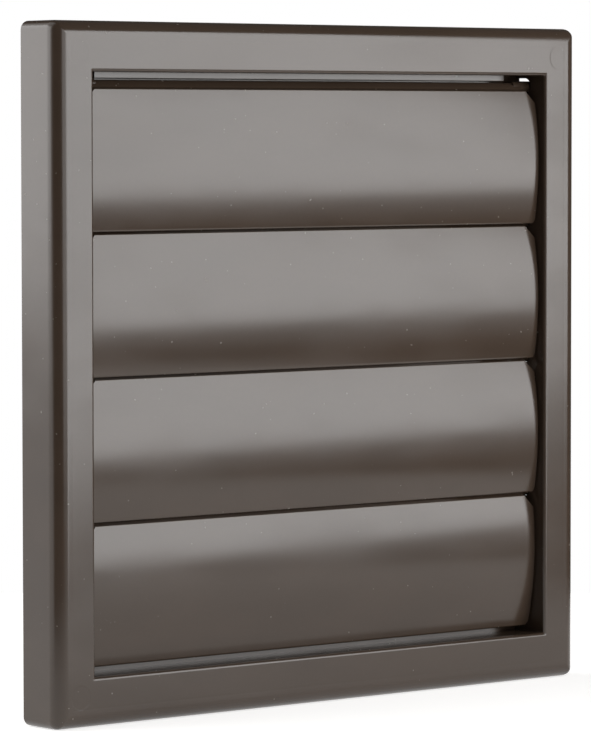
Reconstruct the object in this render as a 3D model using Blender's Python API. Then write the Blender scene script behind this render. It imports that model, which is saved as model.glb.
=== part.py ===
"""Wall ventilation grille with four gravity flaps for a 150 mm round duct.

The front frame is one moulding with a skirt, a flat face and a return wall round the opening.
The four flaps hang by their end pins in slots cut into the side return walls from behind.
The rear plate with its round spigot closes those slots and is held by four corner screws.

Metres, +Z up. The wall plane is Y = 0, the face looks along -Y and the spigot runs along +Y.
The origin is the centre of the wall plane, on the duct's axis.
"""
import math

import bmesh
import bpy
from mathutils import Matrix, Vector

# Front frame
FRAME_WIDTH = 0.190
FRAME_HEIGHT = 0.190
FRAME_DEPTH = 0.0158          # wall plane to face
SKIRT_WALL = 0.0022
FACE_WALL = 0.0022
CORNER_RADIUS = 0.0025        # upright corners of the skirt
EDGE_RADIUS = 0.0040          # fillet from the skirt to the face
SIDE_BORDER = 0.01275         # outer edge to the opening, left and right
TOP_BORDER = 0.0137           # outer edge to the opening, top and bottom
ARRIS_RADIUS = 0.0010         # soft inner edge of the face
RETURN_WALL = 0.0018          # wall round the opening, behind the face
RIB_WALL = 0.0010
RIB_HEIGHT = 0.0022           # stiffening ribs on the back of the face
RIB_INSET = 0.0047            # outer edge to those ribs
RIB_END_GAP = 0.0130          # the ribs stop this far from the outer edge

# Corner bosses and their screws
BOSS_RADIUS = 0.0033
BOSS_SIDE_INSET = 0.0077      # boss axis to the outer edge, left and right
BOSS_TOP_INSET = 0.0085       # boss axis to the outer edge, top and bottom
BOSS_STEP = 0.0002            # boss end short of the return wall's end; the ear steps down to it
EAR_STEP = 0.0003             # rear of the ear below the rear of the plate; its web is inset as much again
SCREW_RADIUS = 0.0013
SCREW_HEAD_RADIUS = 0.0026
SCREW_LENGTH = 0.0095
SCREW_POINT = 0.0020          # tapered tip
SCREW_SINK = 0.0001           # head below the rear face
RECESS_WIDTH = 0.0006
RECESS_SPAN = 0.0026
RECESS_DEPTH = 0.0008
PILOT_CLEARANCE = 0.00015     # stands for the cut thread
EAR_CLEARANCE = 0.0003        # round the screw in the ear
EAR_RADIUS = 0.0040
EAR_WEB = 0.0055              # square web from the ear's axis back into the plate's corner
PILOT_TIP_ROOM = 0.0008       # blind hole beyond the screw tip

# Rear plate and spigot
PLATE_WALL = 0.0020
PLATE_RECESS = 0.0008         # rear face of the plate inside the wall plane
SEAT_GAP = 0.0003             # between faces that touch on the real product
SPIGOT_DIAMETER = 0.148       # outside, for a 150 mm duct
SPIGOT_WALL = 0.0020
SPIGOT_LENGTH = 0.022         # beyond the wall plane
SPIGOT_CHAMFER = 0.0007

# Flaps: the profile is measured from the pin axis, forward and down
FLAP_COUNT = 4
FLAP_SIDE_GAP = 0.0005
AXIS_DROP = 0.0033            # first pin axis below the opening's top edge
AXIS_DEPTH = 0.00885          # pin axis behind the face
BOTTOM_GAP = 0.0018           # below the lowest flap
EDGE_OVERLAP = 0.0006         # a flap's lower edge below the next axis
BLADE_WALL = 0.00125
CREST_DEPTH = 0.0024          # the most forward line of the blade behind the face
CREST_SHARE = 0.553           # height of that line, as a share of the blade's drop
FACE_RADIUS = 0.097           # the blade is one arc from its top edge to its lip
CREASE_DROP = 0.0012          # top edge of the blade below the axis
LEDGE_REACH = 0.0029          # inner end of the ledge under the flap above
LEDGE_DROP = 0.00075
NECK_START = 0.0019           # drop at which the back of the blade leaves the neck
BEAD_RADIUS = 0.0013
PIN_RADIUS = 0.00175
PIN_ROOT = 0.0025             # pin inside the end of the blade
PIN_REACH = 0.0008            # pin tip beyond the return wall
PIN_CHAMFER = 0.0004
PIN_SEAT = 0.0002             # running clearance under the pin
SLOT_RADIUS = 0.0023
SHOULDER_WIDTH = 0.0030       # blade corner cut away beside the pin
SHOULDER_START = 0.0014       # its slope begins this far below the axis
SHOULDER_END = 0.0046
BLADE_CORNER = 0.0020         # radius of the lower corners
LAST_FLAP_TURN = 4.0          # degrees that the lowest flap hangs further in, against its stop

# Ribs inside the opening, above the first flap and behind the last one
OPENING_RIB_WALL = 0.0012
OPENING_RIB_END_GAP = 0.0075  # rib end to the side wall
TOP_RIB_CLEARANCE = 0.00035   # above the bead of the first flap
TOP_RIB_DEPTH = 0.0097        # behind the face
STOP_RIB_OVERLAP = 0.0010     # the stop rises this far behind the last flap's edge
STOP_RIB_GAP = 0.0033

ARC_STEPS = 6
FACE_STEPS = 18
PIN_STEPS = 24
ROUND_STEPS = 32
SPIGOT_STEPS = 96
OVERCUT = 0.0010              # cutters run past the faces that they open

HALF_WIDTH = FRAME_WIDTH / 2
HALF_HEIGHT = FRAME_HEIGHT / 2
OPENING_X = HALF_WIDTH - SIDE_BORDER
OPENING_Z = HALF_HEIGHT - TOP_BORDER
PLATE_REAR_Y = -PLATE_RECESS
PLATE_FRONT_Y = PLATE_REAR_Y - PLATE_WALL
RETURN_END = FRAME_DEPTH + PLATE_FRONT_Y - SEAT_GAP
FACE_Y = -FRAME_DEPTH
BOSS_X = HALF_WIDTH - BOSS_SIDE_INSET
BOSS_Z = HALF_HEIGHT - BOSS_TOP_INSET
AXIS_Y = FACE_Y + AXIS_DEPTH
PITCH = (2 * OPENING_Z - AXIS_DROP - BOTTOM_GAP - EDGE_OVERLAP) / FLAP_COUNT
BLADE_DROP = PITCH + EDGE_OVERLAP
BLADE_HALF = OPENING_X - FLAP_SIDE_GAP
SLOT_RISE = SLOT_RADIUS - PIN_RADIUS - PIN_SEAT
SCREW_TOP_Y = PLATE_REAR_Y - EAR_STEP - SCREW_SINK


def clear_scene():
    for obj in list(bpy.data.objects):
        bpy.data.objects.remove(obj, do_unlink=True)


def plastic(name, color, roughness):
    material = bpy.data.materials.new(name)
    material.use_nodes = True
    shader = material.node_tree.nodes["Principled BSDF"]
    shader.inputs["Base Color"].default_value = (*color, 1.0)
    shader.inputs["Roughness"].default_value = roughness
    return material


def steel(name):
    material = plastic(name, (0.60, 0.60, 0.58), 0.35)
    material.node_tree.nodes["Principled BSDF"].inputs["Metallic"].default_value = 1.0
    return material


def add_object(name, bm, material=None, sharp_angle=35):
    bmesh.ops.recalc_face_normals(bm, faces=bm.faces)
    mesh = bpy.data.meshes.new(name)
    bm.to_mesh(mesh)
    bm.free()
    mesh.shade_smooth()
    mesh.set_sharp_from_angle(angle=math.radians(sharp_angle))
    obj = bpy.data.objects.new(name, mesh)
    bpy.context.scene.collection.objects.link(obj)
    if material:
        mesh.materials.append(material)
    return obj


def add_guide(name, bm):
    """A shape that is only joined to or cut from a part."""
    guide = add_object(name, bm)
    guide.hide_render = True
    guide.display_type = "WIRE"
    return guide


def combine(obj, operation, guide):
    modifier = obj.modifiers.new(guide.name, "BOOLEAN")
    modifier.operation = operation
    modifier.solver = "EXACT"
    modifier.object = guide


def add_box(bm, low, high):
    size = Vector(high) - Vector(low)
    middle = (Vector(high) + Vector(low)) / 2
    place = Matrix.Translation(middle) @ Matrix.Diagonal((*size, 1.0))
    bmesh.ops.create_cube(bm, size=1.0, matrix=place)


def add_prism(bm, outline, start, end, place):
    """Extrude a closed outline; place turns (u, v, w) into a position."""
    verts = [bm.verts.new(place(u, v, start)) for u, v in outline]
    face = bm.faces.new(verts)
    moved = bmesh.ops.extrude_face_region(bm, geom=[face])["geom"]
    shift = Vector(place(0, 0, end)) - Vector(place(0, 0, start))
    bmesh.ops.translate(bm, verts=[g for g in moved if isinstance(g, bmesh.types.BMVert)], vec=shift)


def add_turned(bm, profile, steps, axis_x=0.0, axis_z=0.0):
    """Turn a profile of (radius, y) points about a line along Y and cap its open ends flat."""
    verts = [bm.verts.new((axis_x + radius, y, axis_z)) for radius, y in profile]
    edges = [bm.edges.new(pair) for pair in zip(verts, verts[1:])]
    bmesh.ops.spin(bm, geom=verts + edges, cent=(axis_x, 0, axis_z), axis=(0, 1, 0),
                   angle=math.tau, steps=steps, use_merge=True)
    bmesh.ops.remove_doubles(bm, verts=bm.verts, dist=1e-6)
    bmesh.ops.holes_fill(bm, edges=[edge for edge in bm.edges if edge.is_boundary])


def corners():
    return [(side * BOSS_X, up * BOSS_Z) for up in (1, -1) for side in (-1, 1)]


def arc(center, radius, start, end, steps):
    """Points on an arc, angles in degrees."""
    points = []
    for step in range(steps + 1):
        angle = math.radians(start + (end - start) * step / steps)
        points.append((center[0] + radius * math.cos(angle), center[1] + radius * math.sin(angle)))
    return points


def spread(low, high, steps):
    """Evenly spaced values from low to high, both ends included."""
    return [low + (high - low) * step / steps for step in range(steps + 1)]


def add_ring(bm, inset_x, inset_z, y):
    """One loop of the frame: a square inset from the outer edge, its corners rounded while they last."""
    radius = max(CORNER_RADIUS - min(inset_x, inset_z), 0.0)
    reach_x = HALF_WIDTH - inset_x - radius
    reach_z = HALF_HEIGHT - inset_z - radius
    loop = []
    for number, (side, up) in enumerate(((1, 1), (-1, 1), (-1, -1), (1, -1))):
        center = (side * reach_x, up * reach_z)
        loop += [bm.verts.new((x, y, z)) for x, z in
                 arc(center, radius, 90 * number, 90 * number + 90, ARC_STEPS)]
    return loop


def loft_rings(bm, rings):
    """Join each ring to the next and the last to the first, then close up the mitred corners."""
    loops = [add_ring(bm, *ring) for ring in rings]
    for near, far in zip(loops, loops[1:] + loops[:1]):
        for i in range(len(near)):
            j = (i + 1) % len(near)
            bm.faces.new((near[i], near[j], far[j], far[i]))
    bmesh.ops.remove_doubles(bm, verts=bm.verts, dist=1e-6)
    bmesh.ops.dissolve_degenerate(bm, edges=bm.edges, dist=1e-6)


def frame_section():
    """Closed section of the frame as (inset in x, inset in z, y), from the wall edge round to it."""
    rings = [(0.0, 0.0, 0.0)]
    for inset, depth in arc((EDGE_RADIUS, EDGE_RADIUS), EDGE_RADIUS, 180, 270, ARC_STEPS):
        rings.append((inset, inset, FACE_Y + depth))
    for back, depth in arc((ARRIS_RADIUS, ARRIS_RADIUS), ARRIS_RADIUS, 270, 360, ARC_STEPS // 2):
        shift = back - 2 * ARRIS_RADIUS
        rings.append((SIDE_BORDER + shift, TOP_BORDER + shift, FACE_Y + depth))
    end_y = FACE_Y + RETURN_END
    rings.append((SIDE_BORDER, TOP_BORDER, end_y))
    rings.append((SIDE_BORDER - RETURN_WALL, TOP_BORDER - RETURN_WALL, end_y))
    rings.append((SIDE_BORDER - RETURN_WALL, TOP_BORDER - RETURN_WALL, FACE_Y + FACE_WALL))
    rings.append((SKIRT_WALL, SKIRT_WALL, FACE_Y + FACE_WALL))
    rings.append((SKIRT_WALL, SKIRT_WALL, 0.0))
    return rings


def axis_heights():
    return [OPENING_Z - AXIS_DROP - number * PITCH for number in range(FLAP_COUNT)]


def boss_guide():
    bm = bmesh.new()
    start_y = FACE_Y + FACE_WALL / 2
    end_y = FACE_Y + RETURN_END - BOSS_STEP
    for x, z in corners():
        add_turned(bm, [(BOSS_RADIUS, start_y), (BOSS_RADIUS, end_y)], ROUND_STEPS, x, z)
    return add_guide("boss_shapes", bm)


def pilot_guide():
    bm = bmesh.new()
    radius = SCREW_RADIUS + PILOT_CLEARANCE
    open_y = FACE_Y + RETURN_END + OVERCUT
    blind_y = SCREW_TOP_Y - SCREW_LENGTH - PILOT_TIP_ROOM
    for x, z in corners():
        add_turned(bm, [(radius, open_y), (radius, blind_y)], ROUND_STEPS // 2, x, z)
    return add_guide("pilot_holes", bm)


def slot_guide():
    """Slots for the pins, round at the front and open to the rear."""
    bm = bmesh.new()
    outline = arc((AXIS_Y, 0), SLOT_RADIUS, 90, 270, ROUND_STEPS // 2)
    rear_y = FACE_Y + RETURN_END + OVERCUT
    outline += [(rear_y, -SLOT_RADIUS), (rear_y, SLOT_RADIUS)]
    reach = OPENING_X + RETURN_WALL + OVERCUT
    for height in axis_heights():
        add_prism(bm, outline, -reach, reach,
                  lambda y, rise, x, z=height: (x, y, z + SLOT_RISE + rise))
    return add_guide("pin_slots", bm)


def face_rib_guide():
    """Stiffening ribs on the back of the face, one along each side."""
    bm = bmesh.new()
    start_y = FACE_Y + FACE_WALL / 2
    end_y = FACE_Y + FACE_WALL + RIB_HEIGHT
    reach_x = HALF_WIDTH - RIB_END_GAP
    reach_z = HALF_HEIGHT - RIB_END_GAP
    insets = (RIB_INSET, RIB_INSET + RIB_WALL)
    for sign in (-1, 1):
        low_x, high_x = sorted(sign * (HALF_WIDTH - inset) for inset in insets)
        low_z, high_z = sorted(sign * (HALF_HEIGHT - inset) for inset in insets)
        add_box(bm, (low_x, start_y, -reach_z), (high_x, end_y, reach_z))
        add_box(bm, (-reach_x, start_y, low_z), (reach_x, end_y, high_z))
    return add_guide("face_ribs", bm)


def opening_rib_guide():
    """The rib above the first flap and the stop rib behind the lowest edge."""
    bm = bmesh.new()
    reach = OPENING_X - OPENING_RIB_END_GAP
    top_low = OPENING_Z - AXIS_DROP + BEAD_RADIUS + TOP_RIB_CLEARANCE
    top_y = FACE_Y + TOP_RIB_DEPTH
    add_box(bm, (-reach, top_y, top_low), (reach, top_y + OPENING_RIB_WALL, OPENING_Z + RETURN_WALL / 2))
    lip = turned_in(blade_back(BLADE_DROP - BLADE_WALL / 2), LAST_FLAP_TURN)
    stop_y = AXIS_Y - lip[0] + STOP_RIB_GAP
    stop_high = -OPENING_Z + BOTTOM_GAP + STOP_RIB_OVERLAP
    add_box(bm, (-reach, stop_y, -OPENING_Z - RETURN_WALL / 2), (reach, stop_y + OPENING_RIB_WALL, stop_high))
    return add_guide("opening_ribs", bm)


def build_front_frame(material):
    bm = bmesh.new()
    loft_rings(bm, frame_section())
    frame = add_object("front_frame", bm, material)
    combine(frame, "UNION", boss_guide())
    combine(frame, "DIFFERENCE", pilot_guide())
    combine(frame, "DIFFERENCE", slot_guide())
    combine(frame, "UNION", face_rib_guide())
    combine(frame, "UNION", opening_rib_guide())
    return frame


def build_rear_spigot(material):
    """Square plate with four screw ears and the round spigot."""
    bm = bmesh.new()
    plate_x = OPENING_X + RETURN_WALL
    plate_z = OPENING_Z + RETURN_WALL
    add_box(bm, (-plate_x, PLATE_FRONT_Y, -plate_z), (plate_x, PLATE_REAR_Y, plate_z))
    plate = add_object("rear_spigot", bm, material)

    bm = bmesh.new()
    for x, z in corners():
        add_turned(bm, [(EAR_RADIUS, PLATE_FRONT_Y - BOSS_STEP), (EAR_RADIUS, PLATE_REAR_Y - EAR_STEP)],
                   ROUND_STEPS, x, z)
    combine(plate, "UNION", add_guide("ear_shapes", bm))

    bm = bmesh.new()
    for x, z in corners():
        low_x, high_x = sorted((x, x - math.copysign(EAR_WEB, x)))
        low_z, high_z = sorted((z, z - math.copysign(EAR_WEB, z)))
        add_box(bm, (low_x, PLATE_FRONT_Y + EAR_STEP, low_z), (high_x, PLATE_REAR_Y - 2 * EAR_STEP, high_z))
    combine(plate, "UNION", add_guide("ear_webs", bm))

    bm = bmesh.new()
    outer = SPIGOT_DIAMETER / 2
    start_y = PLATE_REAR_Y - PLATE_WALL / 2
    add_turned(bm, [(outer, start_y), (outer, SPIGOT_LENGTH - SPIGOT_CHAMFER),
                    (outer - SPIGOT_CHAMFER, SPIGOT_LENGTH)], SPIGOT_STEPS)
    combine(plate, "UNION", add_guide("spigot_shape", bm))

    bm = bmesh.new()
    inner = outer - SPIGOT_WALL
    front_y = PLATE_FRONT_Y - OVERCUT
    end_y = SPIGOT_LENGTH + OVERCUT
    add_turned(bm, [(inner, front_y), (inner, end_y)], SPIGOT_STEPS)
    combine(plate, "DIFFERENCE", add_guide("spigot_bore", bm))

    combine(plate, "DIFFERENCE", ear_hole_guide())
    return plate


def ear_hole_guide():
    """Countersunk clearance holes in the ears."""
    bm = bmesh.new()
    radius = SCREW_RADIUS + EAR_CLEARANCE
    head = SCREW_HEAD_RADIUS + EAR_CLEARANCE
    slope = head - radius
    front_y = PLATE_FRONT_Y - OVERCUT
    head_y = PLATE_REAR_Y - EAR_STEP
    profile = [(radius, front_y), (radius, head_y - slope), (head, head_y), (head, head_y + OVERCUT)]
    for x, z in corners():
        add_turned(bm, profile, ROUND_STEPS // 2, x, z)
    return add_guide("ear_holes", bm)


def blade_face(drop):
    """Outer face of the blade: reach in front of the axis at a drop below it, and its slope."""
    rise = CREST_SHARE * BLADE_DROP - drop
    across = math.sqrt(FACE_RADIUS ** 2 - rise ** 2)
    return AXIS_DEPTH - CREST_DEPTH - FACE_RADIUS + across, rise / across


def blade_back(drop, share=1.0):
    """Point behind the outer face at a drop, a share of the wall inward along the normal."""
    reach, slope = blade_face(drop)
    scale = BLADE_WALL * share / math.hypot(1, slope)
    return reach - scale, drop + slope * scale


def turned_in(point, angle):
    """A (reach, drop) point after the flap has turned inward about its axis, in degrees."""
    reach, drop = point
    turn = math.radians(angle)
    return reach * math.cos(turn) - drop * math.sin(turn), drop * math.cos(turn) + reach * math.sin(turn)


def tangent_angle(point, radius, side):
    """Angle at which a line from a point touches a circle about the axis."""
    distance = math.hypot(*point)
    return math.degrees(math.atan2(point[1], point[0]) + side * math.acos(radius / distance))


def flap_outline():
    """Section of a flap as (forward, up) from its pin axis."""
    end = BLADE_DROP - BLADE_WALL / 2
    front = [(blade_face(drop)[0], -drop) for drop in spread(CREASE_DROP, end, FACE_STEPS)]
    tip = blade_back(end, 0.5)
    tilt = math.degrees(math.atan(blade_face(end)[1]))
    edge = arc((tip[0], -tip[1]), BLADE_WALL / 2, tilt, tilt - 180, ARC_STEPS)[1:-1]
    back = [blade_back(drop) for drop in spread(end, NECK_START, FACE_STEPS)]
    back = [(reach, -drop) for reach, drop in back]
    under = (LEDGE_REACH, -LEDGE_DROP - BLADE_WALL)
    ledge = (LEDGE_REACH, -LEDGE_DROP)
    start = tangent_angle(under, BEAD_RADIUS, -1)
    stop = tangent_angle(ledge, BEAD_RADIUS, 1) - 360
    bead = arc((0, 0), BEAD_RADIUS, start, stop, 2 * ARC_STEPS)
    return front + edge + back + [under] + bead + [ledge]


def flap_trim_outline():
    """Front view of a blade as (x, z) from its axis: sloped shoulders beside the pins, rounded below."""
    low = -BLADE_DROP - OVERCUT
    base = -BLADE_DROP + EDGE_OVERLAP / 2
    high = BEAD_RADIUS + OVERCUT
    half = BLADE_HALF
    right = [(half - SHOULDER_WIDTH, high), (half - SHOULDER_WIDTH, -SHOULDER_START), (half, -SHOULDER_END)]
    right += arc((half - BLADE_CORNER, base + BLADE_CORNER), BLADE_CORNER, 0, -60, ARC_STEPS)
    right.append((half - BLADE_CORNER, low))
    left = [(-x, z) for x, z in reversed(right)]
    return right + left


def flap_mesh_object(name, material):
    bm = bmesh.new()
    add_prism(bm, flap_outline(), -BLADE_HALF - OVERCUT, BLADE_HALF + OVERCUT,
              lambda forward, up, x: (x, -forward, up))
    return add_object(name, bm, material)


def trim_guide(name):
    bm = bmesh.new()
    reach = AXIS_DEPTH + FRAME_DEPTH
    add_prism(bm, flap_trim_outline(), -reach, reach, lambda x, z, y: (x, y, z))
    return add_guide(name, bm)


def pin_guide(name):
    bm = bmesh.new()
    root = BLADE_HALF - SHOULDER_WIDTH - PIN_ROOT
    tip = OPENING_X + RETURN_WALL + PIN_REACH
    profile = [(PIN_RADIUS, root), (PIN_RADIUS, tip - PIN_CHAMFER), (PIN_RADIUS - PIN_CHAMFER, tip)]
    add_turned(bm, profile, PIN_STEPS)
    turn = Matrix.Rotation(math.radians(-90), 3, "Z")
    bmesh.ops.rotate(bm, verts=bm.verts, cent=(0, 0, 0), matrix=turn)
    mirrored = bmesh.ops.duplicate(bm, geom=bm.verts[:] + bm.edges[:] + bm.faces[:])["geom"]
    half_turn = Matrix.Rotation(math.radians(180), 3, "Z")
    bmesh.ops.rotate(bm, verts=[g for g in mirrored if isinstance(g, bmesh.types.BMVert)],
                     cent=(0, 0, 0), matrix=half_turn)
    return add_guide(name, bm)


def build_flaps(material):
    """Flaps with their origins on the pin axes; guides ride on each flap."""
    for number, height in enumerate(axis_heights(), start=1):
        flap = flap_mesh_object(f"flap_{number}", material)
        flap.location = (0, AXIS_Y, height)
        if number == FLAP_COUNT:
            flap.rotation_euler.x = math.radians(LAST_FLAP_TURN)
        for guide, operation in ((trim_guide(f"flap_{number}_trim"), "INTERSECT"),
                                 (pin_guide(f"flap_{number}_pins"), "UNION")):
            guide.parent = flap
            combine(flap, operation, guide)


def screw_mesh(material):
    """Countersunk self-tapping screw, its head at the origin and its tip along -Y."""
    bm = bmesh.new()
    slope = SCREW_HEAD_RADIUS - SCREW_RADIUS
    profile = [(SCREW_HEAD_RADIUS, 0), (SCREW_RADIUS, -slope),
               (SCREW_RADIUS, SCREW_POINT - SCREW_LENGTH), (0, -SCREW_LENGTH)]
    add_turned(bm, profile, ROUND_STEPS // 2)
    return add_object("screw_master", bm, material)


def recess_guide():
    """Cross recess of the screw head."""
    bm = bmesh.new()
    half = RECESS_WIDTH / 2
    span = RECESS_SPAN / 2
    outline = [(half, half), (half, span), (-half, span), (-half, half), (-span, half), (-span, -half),
               (-half, -half), (-half, -span), (half, -span), (half, -half), (span, -half), (span, half)]
    add_prism(bm, outline, -RECESS_DEPTH, OVERCUT, lambda x, z, y: (x, y, z))
    return add_guide("screw_recess", bm)


def build_screws(material):
    master = screw_mesh(material)
    combine(master, "DIFFERENCE", recess_guide())
    depsgraph = bpy.context.evaluated_depsgraph_get()
    mesh = bpy.data.meshes.new_from_object(master.evaluated_get(depsgraph))
    mesh.name = "screw"
    bpy.data.objects.remove(master, do_unlink=True)
    for number, (x, z) in enumerate(corners(), start=1):
        screw = bpy.data.objects.new(f"frame_screw_{number}", mesh)
        screw.location = (x, SCREW_TOP_Y, z)
        bpy.context.scene.collection.objects.link(screw)


def main():
    clear_scene()
    build_front_frame(plastic("frame plastic", (0.045, 0.030, 0.020), 0.32))
    build_rear_spigot(plastic("spigot plastic", (0.040, 0.027, 0.018), 0.38))
    build_flaps(plastic("flap plastic", (0.045, 0.030, 0.020), 0.32))
    build_screws(steel("zinc plated steel"))


main()
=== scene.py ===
import math

import bmesh
import bpy
from mathutils import Matrix, Vector


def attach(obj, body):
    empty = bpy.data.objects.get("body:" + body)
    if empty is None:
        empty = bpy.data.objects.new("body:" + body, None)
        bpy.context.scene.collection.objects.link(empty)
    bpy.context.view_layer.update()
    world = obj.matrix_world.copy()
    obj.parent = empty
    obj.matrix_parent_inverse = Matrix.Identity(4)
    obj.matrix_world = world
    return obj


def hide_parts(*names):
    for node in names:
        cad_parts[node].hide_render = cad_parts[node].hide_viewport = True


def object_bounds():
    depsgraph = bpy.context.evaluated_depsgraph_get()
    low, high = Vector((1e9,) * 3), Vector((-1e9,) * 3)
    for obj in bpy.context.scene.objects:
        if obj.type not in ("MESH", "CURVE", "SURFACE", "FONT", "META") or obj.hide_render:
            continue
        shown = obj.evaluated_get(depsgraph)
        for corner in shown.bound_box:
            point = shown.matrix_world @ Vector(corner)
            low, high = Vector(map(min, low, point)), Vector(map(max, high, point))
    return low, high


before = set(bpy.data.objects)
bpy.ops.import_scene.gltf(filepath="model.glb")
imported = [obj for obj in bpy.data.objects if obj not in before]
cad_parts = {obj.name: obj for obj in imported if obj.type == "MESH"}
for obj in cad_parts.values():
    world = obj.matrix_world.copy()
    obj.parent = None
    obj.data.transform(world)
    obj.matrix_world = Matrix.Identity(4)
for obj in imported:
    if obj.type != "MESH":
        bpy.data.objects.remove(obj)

# Wall ventilation grille with four gravity flaps: the finished mouldings, their surfaces and the studio.
# The wall plane is Y = 0, the face looks along -Y and +Z is up. Shapes are drawn in millimetres and
# brought to metres when a piece is finished.

mm = 0.001
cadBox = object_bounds()


# ---- drawing and joining

def bar(bm, low, high):
    size = Vector(high) - Vector(low)
    place = Matrix.Translation((Vector(high) + Vector(low)) / 2) @ Matrix.Diagonal((*size, 1))
    return bmesh.ops.create_cube(bm, size=1, matrix=place)["verts"]


def rod(bm, radius, start, end, x=0, z=0, steps=32, endRadius=None):
    # along Y, from start to end
    place = Matrix.Translation((x, (start + end) / 2, z)) @ Matrix.Rotation(math.radians(-90), 4, "X")
    return bmesh.ops.create_cone(bm, cap_ends=True, segments=steps, radius1=radius, depth=end - start,
                                 radius2=radius if endRadius is None else endRadius, matrix=place)["verts"]


def roundOff(bm, edges, size, steps=3):
    bmesh.ops.bevel(bm, geom=list(edges), offset=size, offset_type="OFFSET", affect="EDGES",
                    segments=steps, profile=0.5, material=-1, clamp_overlap=True)


def onlyVerts(parts):
    return [part for part in parts if isinstance(part, bmesh.types.BMVert)]


def sharpEdges(bm, angle=40):
    return [edge for edge in bm.edges if edge.calc_face_angle(0) > math.radians(angle)]


class Pen:
    # draws a closed outline in the Y-Z plane; points are (forward, up)
    def __init__(self, forward, up):
        self.bm = bmesh.new()
        self.first = self.tip = self.bm.verts.new((0, -forward, up))

    def to(self, forward, up):
        self.tip = bmesh.ops.extrude_vert_indiv(self.bm, verts=[self.tip])["verts"][0]
        self.tip.co = (0, -forward, up)
        return self.tip

    def turn(self, center, angle, steps):
        made = bmesh.ops.spin(self.bm, geom=[self.tip], cent=(0, -center[0], center[1]), axis=(-1, 0, 0),
                              angle=math.radians(angle), steps=steps)
        self.tip = made["geom_last"][0]
        return self.tip

    def close(self, corners=()):
        # corners are (vertex, rounding) pairs
        bmesh.ops.contextual_create(self.bm, geom=[self.tip, self.first])
        face = bmesh.ops.contextual_create(self.bm, geom=self.bm.edges[:])["faces"][0]
        for corner, size in corners:
            bmesh.ops.bevel(self.bm, geom=[corner], offset=size, offset_type="OFFSET", affect="VERTICES",
                            segments=4, profile=0.5, material=-1)
        return face if face.is_valid else self.bm.faces[:][0]


def alongX(pen, face, low, high):
    bm = pen.bm
    bmesh.ops.translate(bm, verts=bm.verts[:], vec=(low, 0, 0))
    made = bmesh.ops.extrude_face_region(bm, geom=[face])["geom"]
    bmesh.ops.translate(bm, verts=onlyVerts(made), vec=(high - low, 0, 0))
    return bm


def aboutY(pen, steps):
    # the outline's own face goes, and its edges turn full circle
    bm = pen.bm
    bmesh.ops.delete(bm, geom=bm.faces[:], context="FACES_ONLY")
    bmesh.ops.spin(bm, geom=bm.verts[:] + bm.edges[:], cent=(0, 0, 0), axis=(0, 1, 0),
                   angle=math.tau, steps=steps, use_merge=True)
    bmesh.ops.remove_doubles(bm, verts=bm.verts[:], dist=0.0005)
    bmesh.ops.dissolve_degenerate(bm, edges=bm.edges[:], dist=0.0005)
    return bm


def solid(bm, name):
    bmesh.ops.recalc_face_normals(bm, faces=bm.faces[:])
    mesh = bpy.data.meshes.new(name)
    bm.to_mesh(mesh)
    bm.free()
    piece = bpy.data.objects.new(name, mesh)
    bpy.context.scene.collection.objects.link(piece)
    return piece


def carve(piece, *steps):
    # (operation, tool) pairs; the tools go when the mesh is made
    for operation, tool in steps:
        change = piece.modifiers.new(operation, "BOOLEAN")
        change.operation, change.solver, change.object = operation, "EXACT", tool
    graph = bpy.context.evaluated_depsgraph_get()
    mesh = bpy.data.meshes.new_from_object(piece.evaluated_get(graph))
    piece.modifiers.clear()
    piece.data = mesh
    for _, tool in steps:
        bpy.data.objects.remove(tool, do_unlink=True)


def finish(piece, body, node, material, turn=0, shift=(0, 0, 0), smooth=35):
    bm = bmesh.new()
    bm.from_mesh(piece.data)
    bmesh.ops.remove_doubles(bm, verts=bm.verts[:], dist=0.001)
    bmesh.ops.dissolve_degenerate(bm, edges=bm.edges[:], dist=0.001)
    bmesh.ops.rotate(bm, verts=bm.verts[:], cent=(0, 0, 0), matrix=Matrix.Rotation(math.radians(turn), 3, "X"))
    bmesh.ops.translate(bm, verts=bm.verts[:], vec=shift)
    bmesh.ops.scale(bm, verts=bm.verts[:], vec=(mm, mm, mm))
    bmesh.ops.recalc_face_normals(bm, faces=bm.faces[:])
    bm.to_mesh(piece.data)
    bm.free()
    piece.data.shade_smooth()
    piece.data.set_sharp_from_angle(angle=math.radians(smooth))
    piece.data.materials.clear()
    piece.data.materials.append(material)
    weigh = piece.modifiers.new("flats", "WEIGHTED_NORMAL")
    weigh.mode, weigh.weight, weigh.keep_sharp = "FACE_AREA", 50, True
    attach(piece, body)
    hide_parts(node)
    return piece


# ---- surfaces

class Wire:
    # a socket that can be used in sums
    def __init__(self, graph, socket):
        self.graph, self.socket = graph, socket

    def sum(self, operation, *values):
        return self.graph.node("ShaderNodeMath", {"operation": operation}, dict(enumerate((self, *values))))

    def __add__(self, other): return self.sum("ADD", other)
    def __sub__(self, other): return self.sum("SUBTRACT", other)
    def __mul__(self, other): return self.sum("MULTIPLY", other)
    def __pow__(self, other): return self.sum("POWER", other)
    def __abs__(self): return self.sum("ABSOLUTE")
    def __rsub__(self, other): return self.graph.number(other).sum("SUBTRACT", self)
    __radd__, __rmul__ = __add__, __mul__


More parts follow.
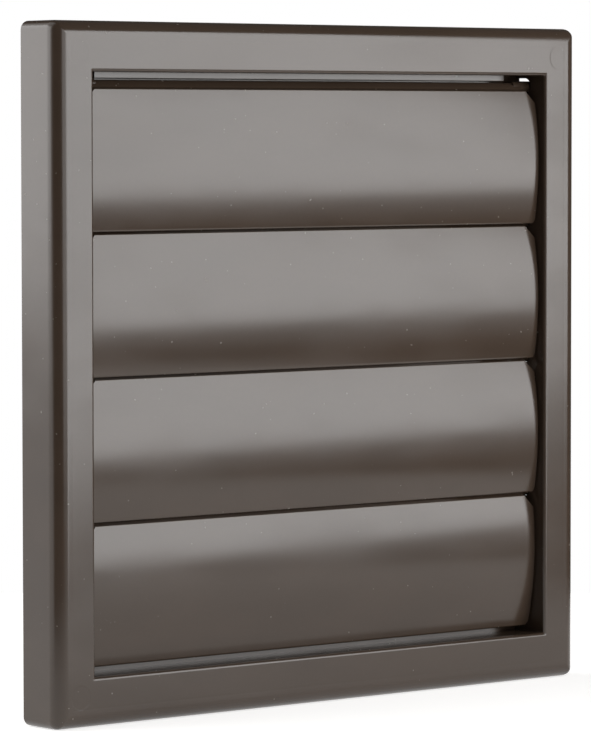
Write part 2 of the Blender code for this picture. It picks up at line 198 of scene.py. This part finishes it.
class Graph:
    # makes the nodes of one tree
    def __init__(self, tree):
        self.tree = tree

    def node(self, kind, settings=None, values=None, out=0):
        made = self.tree.nodes.new(kind)
        for name, value in (settings or {}).items():
            setattr(made, name, value)
        for name, value in (values or {}).items():
            if isinstance(value, Wire):
                self.tree.links.new(value.socket, made.inputs[name])
            else:
                made.inputs[name].default_value = value
        return Wire(self, made.outputs[out])

    def number(self, value):
        return self.node("ShaderNodeMath", {"operation": "ADD"}, {0: value, 1: 0})

    def split(self, vector):
        first = self.node("ShaderNodeSeparateXYZ", {}, {"Vector": vector})
        return [Wire(self, socket) for socket in first.socket.node.outputs]

    def ray(self, kind):
        return self.node("ShaderNodeLightPath", out=f"Is {kind} Ray")

    def step(self, value, low, high):
        return self.node("ShaderNodeMapRange", {"interpolation_type": "SMOOTHSTEP"},
                         {"Value": value, "From Min": low, "From Max": high})

    def mix(self, share, first, second):
        return self.node("ShaderNodeMix", {"data_type": "RGBA"},
                         {"Factor": share, 6: first, 7: second}, out=2)

    def mixNumber(self, share, first, second):
        return self.node("ShaderNodeMix", {"data_type": "FLOAT"}, {"Factor": share, 2: first, 3: second})


class Finish(Graph):
    # one Principled material on Object coordinates
    def __init__(self, name, **fixed):
        self.material = bpy.data.materials.new(name)
        self.material.use_nodes = True
        super().__init__(self.material.node_tree)
        self.shader = self.tree.nodes["Principled BSDF"]
        for socket, value in fixed.items():
            self.shader.inputs[socket.replace("_", " ")].default_value = value
        self.place = self.node("ShaderNodeTexCoord", out="Object")

    def noise(self, scale, detail=3, stretch=(1, 1, 1), turn=(0, 0, 0), shift=(0, 0, 0)):
        # scale is in features per millimetre
        place = self.node("ShaderNodeMapping", {}, {"Vector": self.place, "Location": shift, "Rotation": turn,
                                                    "Scale": [scale * side / mm for side in stretch]})
        return self.node("ShaderNodeTexNoise", {}, {"Vector": place, "Scale": 1, "Detail": detail})

    def bump(self, height, depth, normal=None):
        # depth in millimetres for a height of 1
        values = {"Height": height, "Distance": depth * mm, "Strength": 1}
        if normal:
            values["Normal"] = normal
        return self.node("ShaderNodeBump", {}, values)

    def use(self, **sockets):
        for name, value in sockets.items():
            self.tree.links.new(value.socket, self.shader.inputs[name.replace("_", " ")])
        return self.material


def color(red, green, blue):
    return (red, green, blue, 1)


brownPlastic = {
    "base": (0.055, 0.037, 0.026),
    "dark": (0.049, 0.033, 0.023),
    "roughness": 0.178,
    "handling": 0.05,       # extra roughness where it has been touched
    "peel": 0.0048,         # mm
    "dust": (0.30, 0.27, 0.23),
    "dustShare": 0.35, "dustRoughness": 0.2,
}


def plasticFinish(name, look, extra=None):
    made = Finish(name, IOR=1.5)
    flow = made.noise(0.030, detail=4, stretch=(1, 1, 2.4))
    fine = made.noise(0.9, detail=2)
    shade = made.step(flow * 0.8 + fine * 0.2, 0.35, 0.65)
    tone = made.mix(shade, color(*look["dark"]), color(*look["base"]))
    specks = made.step(made.noise(0.75, detail=1, shift=(3, 7, 11)), 0.775, 0.80)
    tone = made.mix(specks * look["dustShare"], tone, color(*look["dust"]))
    smear = made.step(made.noise(0.045, detail=5, stretch=(0.6, 1, 1.6), turn=(0, 0.4, 0)), 0.42, 0.70)
    roughness = smear * look["handling"] + specks * look["dustRoughness"] + look["roughness"]
    normal = made.bump(made.noise(0.55), look["peel"])
    if extra:
        normal = extra(made, normal)
    return made.use(Base_Color=tone, Roughness=roughness, Normal=normal)


def faceMarks(made, normal):
    # sink marks over the corner bosses and the line over the stiffening rib behind each border
    size = frontFrame
    x, y, z = made.split(made.place)
    across, up = abs(x) * (1 / mm), abs(z) * (1 / mm)
    front = made.step(y * (1 / mm), 0.5 - size["depth"], 0.2 - size["depth"])
    side, rise = across - size["bossX"], up - size["bossZ"]
    away = (side * side + rise * rise) ** 0.5
    sink = made.step(away, size["bossRadius"] + 0.25, size["bossRadius"] - 0.35)
    inset = size["width"] / 2 - across.sum("MAXIMUM", up)
    line = made.step(abs(inset - size["ribLine"]), 0.45, 0.0)
    marks = (sink * size["sinkDepth"] + line * size["lineDepth"]) * front
    return made.bump(1 - marks, 1, normal)


# ---- front frame

frontFrame = {
    "width": 190, "depth": 15.8,
    "skirt": 2.2, "faceWall": 2.2, "corner": 2.5,
    "edge": 4.0,                        # fillet from the skirt to the face
    "sideBorder": 12.75, "topBorder": 13.7,
    "arris": 1.0, "returnWall": 1.8, "returnEnd": 12.7,
    "innerFillet": 0.4, "rim": 0.3, "wallEnd": 0.2, "innerCorner": 0.3,
    "bossX": 87.3, "bossZ": 86.5, "bossRadius": 3.3, "bossStart": 1.1, "bossEnd": 12.5, "bossEdge": 0.3,
    "pilot": 1.45, "pilotEnd": -11.5,
    "rib": 1.0, "ribHeight": 2.2, "ribInset": 4.7, "ribEndGap": 13, "ribEdge": 0.2,
    "slotRadius": 2.3, "slotRise": 0.35, "slotReach": 84.5,
    "openingRib": 1.2, "openingRibGap": 7.5, "openingRibRoot": 0.9, "openingRibEdge": 0.25,
    "topRibDepth": 9.7, "topRibLow": 79.65,
    "stopRibY": -4.61, "stopRibTop": -78.5,     # behind the lower edge of the last flap
    "sinkDepth": 0.020, "lineDepth": 0.008, "ribLine": 5.2,
}
flapAxis = {"y": -6.95, "z": (78.0, 38.775, -0.45, -39.675)}


def loop(bm, insetX, insetZ, depth, corner, steps=6):
    # one rounded square of edges, at a depth behind the face
    size = frontFrame["width"]
    place = Matrix.Translation((0, depth - frontFrame["depth"], 0)) @ Matrix.Rotation(math.radians(90), 4, "X")
    place = place @ Matrix.Diagonal((size - 2 * insetX, size - 2 * insetZ, 1, 1))
    verts = bmesh.ops.create_grid(bm, x_segments=1, y_segments=1, size=0.5, matrix=place)["verts"]
    made = bmesh.ops.bevel(bm, geom=verts, offset=corner, offset_type="OFFSET", affect="VERTICES",
                           segments=steps, profile=0.5, material=-1)
    face = made["verts"][0].link_faces[0]
    edges = face.edges[:]
    bmesh.ops.delete(bm, geom=[face], context="FACES_ONLY")
    return edges


def bend(center, radius, start, end, steps):
    # (inset, depth) stations on an arc, in degrees
    angles = [math.radians(start + (end - start) * step / steps) for step in range(steps + 1)]
    return [(center[0] + radius * math.cos(angle), center[1] + radius * math.sin(angle)) for angle in angles]


def frameShell():
    # neighbouring stations differ a little in depth, because bridge_loops can cross two loops in one plane
    size = frontFrame
    rim, inner, end, slip = size["rim"], size["innerFillet"], size["wallEnd"], 0.01
    outer = bend((size["skirt"] - end, size["depth"] - end - slip), end, 0, 90, 2)
    outer += bend((rim, size["depth"] - rim), rim, 90, 180, 3)
    outer += bend((size["edge"], size["edge"]), size["edge"], 180, 270, 16)
    back = size["arris"]
    opening = bend((-back, back + slip), back, 270, 360, 8)
    opening += bend((-end, size["returnEnd"] - end), end, 0, 90, 2)
    opening += bend((end - size["returnWall"], size["returnEnd"] - end - slip), end, 90, 180, 2)
    opening += bend((-size["returnWall"] - inner, size["faceWall"] + inner + slip), inner, 0, -90, 3)
    close = bend((size["skirt"] + inner, size["faceWall"] + inner), inner, 270, 180, 3)

    bm = bmesh.new()
    loops = []
    for inset, depth in outer:
        loops.append(loop(bm, inset, inset, depth, max(size["corner"] - inset, 0.05)))
    for inset, depth in opening:
        loops.append(loop(bm, size["sideBorder"] + inset, size["topBorder"] + inset, depth, size["innerCorner"]))
    for inset, depth in close:
        loops.append(loop(bm, inset, inset, depth, size["innerCorner"]))
    for near, far in zip(loops, loops[1:] + loops[:1]):
        bmesh.ops.bridge_loops(bm, edges=near + far)
    return solid(bm, "frontFrame")


def cornerPlaces():
    return [(side * frontFrame["bossX"], up * frontFrame["bossZ"]) for up in (1, -1) for side in (-1, 1)]


def bossTool():
    size = frontFrame
    bm = bmesh.new()
    for x, z in cornerPlaces():
        rod(bm, size["bossRadius"], size["bossStart"] - size["depth"], size["bossEnd"] - size["depth"], x, z, 40)
    roundOff(bm, [edge for edge in sharpEdges(bm) if edge.verts[0].co.y > -5], size["bossEdge"])
    return solid(bm, "bosses")


def pilotTool():
    bm = bmesh.new()
    for x, z in cornerPlaces():
        rod(bm, frontFrame["pilot"], frontFrame["pilotEnd"], -2, x, z, 24)
    return solid(bm, "pilots")


def slotTool():
    # each slot is a bar with a half-round front, through both side walls
    bm = bmesh.new()
    radius, reach, y = frontFrame["slotRadius"], frontFrame["slotReach"], flapAxis["y"]
    for z in flapAxis["z"]:
        middle = z + frontFrame["slotRise"]
        verts = bar(bm, (-reach, y - radius, middle - radius), (reach, 0, middle + radius))
        front = {edge for vert in verts for edge in vert.link_edges
                 if all(end.co.y < y for end in edge.verts) and abs(edge.verts[0].co.x - edge.verts[1].co.x) > 1}
        roundOff(bm, front, radius * 0.999, 10)
    return solid(bm, "slots")


def ribTool():
    size = frontFrame
    bm = bmesh.new()
    start, end = size["faceWall"] / 2 - size["depth"], size["faceWall"] + size["ribHeight"] - size["depth"]
    reach = size["width"] / 2 - size["ribEndGap"]
    far = size["width"] / 2 - size["ribInset"]
    for side in (-1, 1):
        low, high = sorted((side * far, side * (far - size["rib"])))
        bar(bm, (low, start, -reach), (high, end, reach))
        bar(bm, (-reach, start, low), (reach, end, high))
    roundOff(bm, [edge for edge in bm.edges if all(vert.co.y > start + 1 for vert in edge.verts)],
             size["ribEdge"], 2)
    return solid(bm, "ribs")


def openingRibTool():
    size = frontFrame
    bm = bmesh.new()
    reach = size["width"] / 2 - size["sideBorder"] - size["openingRibGap"]
    opening = size["width"] / 2 - size["topBorder"]
    y = size["topRibDepth"] - size["depth"]
    root, stop = opening + size["openingRibRoot"], size["stopRibY"]
    bar(bm, (-reach, y, size["topRibLow"]), (reach, y + size["openingRib"], root))
    bar(bm, (-reach, stop, -root), (reach, stop + size["openingRib"], size["stopRibTop"]))
    roundOff(bm, [edge for edge in bm.edges if all(abs(vert.co.z) < opening for vert in edge.verts)],
             size["openingRibEdge"])
    return solid(bm, "openingRibs")


def makeFrame(material):
    shell = frameShell()
    carve(shell, ("UNION", bossTool()), ("DIFFERENCE", pilotTool()), ("DIFFERENCE", slotTool()),
          ("UNION", ribTool()), ("UNION", openingRibTool()))
    return finish(shell, "frame", "front_frame", material)


# ---- flaps

flapShape = {
    "half": 81.75, "wall": 1.25,
    "crest": (6.45, -22.02),            # most forward line, from the pin axis
    "faceRadius": 97, "top": 12.39, "backTop": 11.97, "lip": -10.2,     # one arc, in degrees from the crest
    "ledge": (2.9, -0.75), "ledgeWall": 1.25,
    "bead": 1.3, "beadStart": -102.9, "beadTurn": -207.3,
    "pin": 1.75, "pinRoot": 76.25, "pinTip": 84.85, "pinChamfer": 0.4,
    "shoulder": 3.0, "shoulderStart": 1.4, "shoulderEnd": 4.6, "corner": 2.0, "soften": 0.12,
    "trimFront": -14, "trimRear": 6, "trimLow": -39.9,
    "lastTurn": 4.0,                    # degrees that the lowest flap hangs further in
}


def polar(center, radius, angle):
    return (center[0] + radius * math.cos(math.radians(angle)), center[1] + radius * math.sin(math.radians(angle)))


def flapSolid(name):
    size = flapShape
    wall = size["wall"]
    center = polar(size["crest"], -size["faceRadius"], 0)
    edgeCenter = polar(center, size["faceRadius"] - wall / 2, size["lip"])
    pen = Pen(*size["ledge"])
    ledge = pen.first
    crease = pen.to(*polar(center, size["faceRadius"], size["top"]))
    pen.turn(center, size["lip"] - size["top"], 36)
    pen.turn(edgeCenter, -180, 8)
    neck = pen.turn(center, size["backTop"] - size["lip"], 36)
    under = pen.to(size["ledge"][0], size["ledge"][1] - size["ledgeWall"])
    pen.to(*polar((0, 0), size["bead"], size["beadStart"]))
    pen.turn((0, 0), size["beadTurn"], 18)
    face = pen.close(((crease, 0.15), (ledge, 0.25), (under, 0.3), (neck, 0.15)))
    blade = solid(alongX(pen, face, -size["half"], size["half"]), name)
    carve(blade, ("INTERSECT", trimTool()))

    bm = bmesh.new()
    bm.from_mesh(blade.data)
    reach = size["half"] - size["shoulder"] - 0.01
    ends = [edge for edge in sharpEdges(bm, 60) if abs(edge.verts[0].co.x) > reach]
    roundOff(bm, ends, size["soften"], 2)
    bm.to_mesh(blade.data)
    bm.free()
    carve(blade, ("UNION", pinTool()))
    return blade


def trimTool():
    # the blade's front view: sloped shoulders beside the pins and rounded lower corners
    size = flapShape
    bm = bmesh.new()
    bar(bm, (-size["half"], size["trimFront"], size["trimLow"]),
        (size["half"], size["trimRear"], -size["shoulderStart"]))
    roundOff(bm, [edge for edge in bm.edges if edge.verts[0].co.z < -30 and edge.verts[1].co.z < -30
                and abs(edge.verts[0].co.x - edge.verts[1].co.x) < 0.1], size["corner"], 8)
    bmesh.ops.bisect_plane(bm, geom=bm.verts[:] + bm.edges[:] + bm.faces[:], dist=0.0001,
                           plane_co=(0, 0, -size["shoulderEnd"]), plane_no=(0, 0, 1))
    for side in (-1, 1):
        ends = [vert for vert in bm.verts if vert.co.z > 0.1 - size["shoulderEnd"] and vert.co.x * side > 0]
        bmesh.ops.translate(bm, verts=ends, vec=(-side * size["shoulder"], 0, 0))
    top = [face for face in bm.faces if face.normal.z > 0.9 and face.calc_center_median().z > -3]
    made = bmesh.ops.extrude_face_region(bm, geom=top)["geom"]
    bmesh.ops.delete(bm, geom=[face for face in top if face.is_valid], context="FACES_ONLY")
    bmesh.ops.translate(bm, verts=onlyVerts(made), vec=(0, 0, size["shoulderStart"] + size["bead"] + 1))
    return solid(bm, "trim")


def pinTool():
    size = flapShape
    bm = bmesh.new()
    verts = rod(bm, size["pin"], size["pinRoot"], size["pinTip"])
    tip = {edge for vert in verts if vert.co.y > size["pinTip"] - 0.1 for edge in vert.link_edges
           if edge.other_vert(vert).co.y > size["pinTip"] - 0.1}
    roundOff(bm, tip, size["pinChamfer"], 3)
    other = bmesh.ops.duplicate(bm, geom=bm.verts[:] + bm.edges[:] + bm.faces[:])["geom"]
    bmesh.ops.rotate(bm, verts=onlyVerts(other), cent=(0, 0, 0), matrix=Matrix.Rotation(math.pi, 3, "Z"))
    bmesh.ops.rotate(bm, verts=bm.verts[:], cent=(0, 0, 0), matrix=Matrix.Rotation(math.pi / 2, 3, "Z"))
    return solid(bm, "pins")


def makeFlaps(material):
    for number, height in enumerate(flapAxis["z"], start=1):
        name = f"flap{number}"
        turn = flapShape["lastTurn"] if number == len(flapAxis["z"]) else 0
        finish(flapSolid(name), f"flap_{number}", f"flap_{number}", material,
               turn=turn, shift=(0, flapAxis["y"], height), smooth=30)


# ---- rear plate with its spigot

rearSpigot = {
    "plateX": 84.05, "plateZ": 83.1, "front": -2.8, "rear": -0.8,
    "outer": 74.0, "inner": 72.0, "tip": 22.0, "chamfer": 0.7, "fillet": 1.2,
    "plateEdge": 0.25, "boreFlare": 0.3, "boreChamfer": 0.5,
    "ear": 4.0, "earFront": -3.0, "earRear": -1.1, "earEdge": 0.2,
    "web": 5.5, "webFront": 0.3, "webRear": 0.6,
    "hole": 1.6, "sink": 2.9,
    "mark": 2.5, "markDepth": 0.06,     # rings that the mould's ejector pins leave on the rear
    "marks": ((-78, -60), (-78, 60), (78, -60), (78, 60), (-55, -78), (55, -78), (-55, 78), (55, 78)),
}


def spigotPlug():
    size = rearSpigot
    low, fillet = size["rear"], size["fillet"]
    pen = Pen(-size["tip"], 0)
    pen.to(-size["tip"], size["outer"] - size["chamfer"])
    pen.to(-size["tip"] + size["chamfer"], size["outer"])
    pen.to(-low - fillet, size["outer"])
    pen.turn((-low - fillet, size["outer"] + fillet), 90, 6)
    pen.to(-low + 1, size["outer"] + fillet)
    pen.to(-low + 1, 0)
    pen.close()
    return solid(aboutY(pen, 160), "plug")


def boreTool():
    size = rearSpigot
    radius, flare, chamfer = size["inner"], size["boreFlare"], size["boreChamfer"]
    pen = Pen(-size["tip"] - 1, 0)
    pen.to(-size["tip"] - 1, radius + flare)
    pen.to(-size["tip"], radius + flare)
    pen.to(-size["tip"] + 2 * flare, radius)
    pen.to(-size["front"] - chamfer, radius)
    pen.to(-size["front"], radius + chamfer)
    pen.to(-size["front"] + 1, radius + chamfer)
    pen.to(-size["front"] + 1, 0)
    pen.close()
    return solid(aboutY(pen, 160), "bore")


def earTool():
    size = rearSpigot
    bm = bmesh.new()
    for x, z in cornerPlaces():
        rod(bm, size["ear"], size["earFront"], size["earRear"], x, z, 40)
    roundOff(bm, [edge for edge in sharpEdges(bm) if edge.verts[0].co.y > -2], size["earEdge"], 2)
    return solid(bm, "ears")


def webTool():
    size = rearSpigot
    bm = bmesh.new()
    for x, z in cornerPlaces():
        lowX, highX = sorted((x, x - math.copysign(size["web"], x)))
        lowZ, highZ = sorted((z, z - math.copysign(size["web"], z)))
        bar(bm, (lowX, size["front"] + size["webFront"], lowZ), (highX, size["rear"] - size["webRear"], highZ))
    return solid(bm, "webs")


def earHoleTool():
    size = rearSpigot
    slope, past = size["sink"] - size["hole"], 0.3
    bm = bmesh.new()
    for x, z in cornerPlaces():
        rod(bm, size["hole"], size["earFront"] - 1, size["earRear"] - slope / 2, x, z)
    holes = solid(bm, "earHoles")
    bm = bmesh.new()
    for x, z in cornerPlaces():
        rod(bm, size["hole"] - past, size["earRear"] - slope - past, size["earRear"] + past, x, z,
            endRadius=size["sink"] + past)
    carve(holes, ("UNION", solid(bm, "sinks")))
    return holes


def ejectorTool():
    size = rearSpigot
    bm = bmesh.new()
    for x, z in size["marks"]:
        rod(bm, size["mark"], size["rear"] - size["markDepth"], 0, x, z)
    return solid(bm, "ejectors")


def makeSpigot(material):
    size = rearSpigot
    bm = bmesh.new()
    bar(bm, (-size["plateX"], size["front"], -size["plateZ"]), (size["plateX"], size["rear"], size["plateZ"]))
    roundOff(bm, bm.edges[:], size["plateEdge"])
    plate = solid(bm, "rearSpigot")
    carve(plate, ("UNION", earTool()), ("UNION", webTool()), ("UNION", spigotPlug()),
          ("DIFFERENCE", boreTool()), ("DIFFERENCE", earHoleTool()), ("DIFFERENCE", ejectorTool()))
    return finish(plate, "frame", "rear_spigot", material)


# ---- screws

screw = {
    "head": 2.6, "headTop": -1.2, "shaft": 0.95, "thread": 1.3, "length": 9.5, "point": 2.0,
    "rimDepth": 0.25, "rimEdge": 0.12, "pitch": 0.9, "turns": 6, "turnSteps": 20,
    "threadRoot": 0.83, "threadProfile": (0.14, 0.20, 0.34),        # along the shaft
    "recessWidth": 0.6, "recessSpan": 2.6, "recessDepth": 0.8, "recessTaper": 0.75,
    "spread": 0.7,                      # radians from one screw's recess to the next
}


def screwSolid():
    size = screw
    neck = size["head"] - size["thread"]
    pen = Pen(0, 0)
    pen.to(0, size["head"] - size["rimEdge"])
    pen.to(size["rimEdge"], size["head"])
    pen.to(size["rimDepth"], size["head"] - 0.02)
    pen.to(size["rimDepth"] + neck, size["shaft"] + 0.1)
    pen.to(size["rimDepth"] + neck + 0.4, size["shaft"])
    pen.to(size["length"] - size["point"], size["shaft"])
    pen.to(size["length"] - 0.05, 0.08)
    pen.to(size["length"], 0)
    pen.close()
    body = solid(aboutY(pen, 48), "screw")

    # cross recess, narrower towards its floor
    bm = bmesh.new()
    half, span = size["recessWidth"] / 2, size["recessSpan"] / 2
    for wide, tall in ((half, span), (span, half)):
        verts = bar(bm, (-wide, -size["recessDepth"], -tall), (wide, 1, tall))
        floor = [vert for vert in verts if vert.co.y < 0]
        bmesh.ops.scale(bm, verts=floor, vec=(size["recessTaper"], 1, size["recessTaper"]))
    carve(body, ("DIFFERENCE", solid(bm, "recess")))

    # thread: one tooth turned and drawn along the shaft
    start = -size["length"] + size["point"] + 0.4
    rise, fall, end = size["threadProfile"]
    pen = Pen(-start, size["threadRoot"])
    pen.to(-start + rise, size["thread"])
    pen.to(-start + fall, size["thread"])
    pen.to(-start + end, size["threadRoot"])
    pen.close()
    bm = pen.bm
    steps = size["turnSteps"] * size["turns"]
    bmesh.ops.spin(bm, geom=bm.faces[:] + bm.edges[:] + bm.verts[:], cent=(0, 0, 0), axis=(0, 1, 0),
                   dvec=(0, size["pitch"] * size["turns"] / steps, 0), angle=math.tau * size["turns"], steps=steps)
    carve(body, ("UNION", solid(bm, "thread")))
    return body


def makeScrews(material):
    master = screwSolid()
    for number, (x, z) in enumerate(cornerPlaces(), start=1):
        copy = master.copy()
        copy.data = master.data.copy()
        copy.name = f"screw{number}"
        bpy.context.scene.collection.objects.link(copy)
        bm = bmesh.new()
        bm.from_mesh(copy.data)
        bmesh.ops.rotate(bm, verts=bm.verts[:], cent=(0, 0, 0),
                         matrix=Matrix.Rotation(screw["spread"] * number, 3, "Y"))
        bm.to_mesh(copy.data)
        bm.free()
        finish(copy, "frame", f"frame_screw_{number}", material, shift=(x, screw["headTop"], z))
    bpy.data.objects.remove(master, do_unlink=True)


def zincFinish():
    made = Finish("zinc plated steel", Metallic=1.0)
    cloud = made.noise(0.5, detail=4)
    tone = made.mix(made.step(cloud, 0.35, 0.7), color(0.52, 0.52, 0.50), color(0.66, 0.66, 0.63))
    dull = made.noise(1.6, detail=3)
    normal = made.bump(made.noise(4, detail=2), 0.004)
    return made.use(Base_Color=tone, Roughness=dull * 0.25 + 0.22, Normal=normal)


# ---- studio

camera = {
    "place": (-0.8036, -0.9672, 0.0663),
    "pitch": -3.176, "turn": -39.749, "roll": -0.054,
    "focalPixels": 4457.4, "pixels": 750,       # fitted to the frame's edges in the photograph, 750 pixels high
    "sensor": 36.0,
}

studio = {
    "floorRadius": 0.30, "floorColor": (0.80, 0.79, 0.77), "floorLift": 0.66,
    "backdrop": 1.2, "room": 0.06,
}

# azimuth 0 is straight in front of the face, positive to its right; heights and sizes in metres
lampDistance = 0.75
lamps = {
    "frontBox": {"azimuth": 31, "low": -0.084, "high": 0.47, "width": 0.50, "roll": 12, "radiance": 5.5},
    "frontFill": {"azimuth": -2, "low": -0.075, "high": 0.47, "width": 0.42, "roll": 0, "radiance": 2.0},
    "frontLow": {"azimuth": 20, "low": -0.20, "high": -0.09, "width": 0.85, "roll": 8, "radiance": 0.6},
    "sideBox": {"azimuth": -136, "low": -0.012, "high": 0.50, "width": 1.10, "roll": 0, "radiance": 2.55},
}


def addCamera():
    made = bpy.data.objects.new("camera", bpy.data.cameras.new("camera"))
    bpy.context.scene.collection.objects.link(made)
    made.data.sensor_width = camera["sensor"]
    made.data.lens = camera["focalPixels"] * camera["sensor"] / camera["pixels"]
    made.data.clip_start, made.data.clip_end = 0.05, 20
    turn = Matrix.Rotation(math.radians(camera["turn"]), 4, "Z")
    tilt = Matrix.Rotation(math.radians(90 + camera["pitch"]), 4, "X")
    roll = Matrix.Rotation(math.radians(camera["roll"]), 4, "Z")
    made.matrix_world = Matrix.Translation(camera["place"]) @ turn @ tilt @ roll
    bpy.context.scene.camera = made


def addLamps():
    for name, lamp in lamps.items():
        height = lamp["high"] - lamp["low"]
        light = bpy.data.lights.new(name, "AREA")
        light.shape, light.size, light.size_y = "RECTANGLE", lamp["width"], height
        light.energy = lamp["radiance"] * math.pi * lamp["width"] * height
        made = bpy.data.objects.new(name, light)
        bpy.context.scene.collection.objects.link(made)
        azimuth, roll = math.radians(lamp["azimuth"]), math.radians(lamp["roll"])
        away = Vector((math.sin(azimuth), -math.cos(azimuth), 0))
        made.location = away * lampDistance + Vector((0, 0, (lamp["low"] + lamp["high"]) / 2))
        aim = (-away).to_track_quat("-Z", "Y").to_matrix() @ Matrix.Rotation(roll, 3, "Z")
        made.rotation_euler = aim.to_euler()
        made.visible_camera = False


def addWorld():
    # pale behind the object on its left and dark elsewhere; the camera sees white everywhere
    world = bpy.data.worlds.new("backdrop")
    bpy.context.scene.world = world
    world.use_nodes = True
    graph = Graph(world.node_tree)
    across, deep, _ = graph.split(graph.node("ShaderNodeTexCoord", out="Generated"))
    pale = graph.step(deep, -0.12, 0.12) * graph.step(across, 0.0, -0.2)
    level = pale * (studio["backdrop"] - studio["room"]) + studio["room"]
    seen = graph.mixNumber(graph.ray("Camera"), level, 1.0)
    background = world.node_tree.nodes["Background"]
    background.inputs["Color"].default_value = color(1, 1, 1)
    world.node_tree.links.new(seen.socket, background.inputs["Strength"])


def addFloor():
    low = cadBox[0]
    bm = bmesh.new()
    bmesh.ops.create_circle(bm, cap_ends=True, segments=96, radius=studio["floorRadius"],
                            matrix=Matrix.Translation((0, 0, low[2] - 0.0001)))
    floor = solid(bm, "floor")
    made = Finish("pale floor", Roughness=0.9, Specular_IOR_Level=0.1, Emission_Strength=studio["floorLift"])
    pale = studio["floorColor"]
    tone = made.mix(made.noise(0.02), color(*pale), color(*[value * 0.97 for value in pale]))
    direct = made.ray("Camera") + made.ray("Glossy") + made.ray("Transmission")
    glow = made.mix(direct, color(0, 0, 0), color(1, 1, 1))
    floor.data.materials.append(made.use(Base_Color=tone, Emission_Color=glow))


print("camera, lamps and floor")
addCamera()
addLamps()
addWorld()
addFloor()

print("front frame")
makeFrame(plasticFinish("frame plastic", brownPlastic, faceMarks))
print("flaps")
makeFlaps(plasticFinish("flap plastic", brownPlastic))
print("rear plate and spigot")
makeSpigot(plasticFinish("spigot plastic", brownPlastic))
print("screws")
makeScrews(zincFinish())

bpy.context.scene.view_settings.view_transform = "Standard"
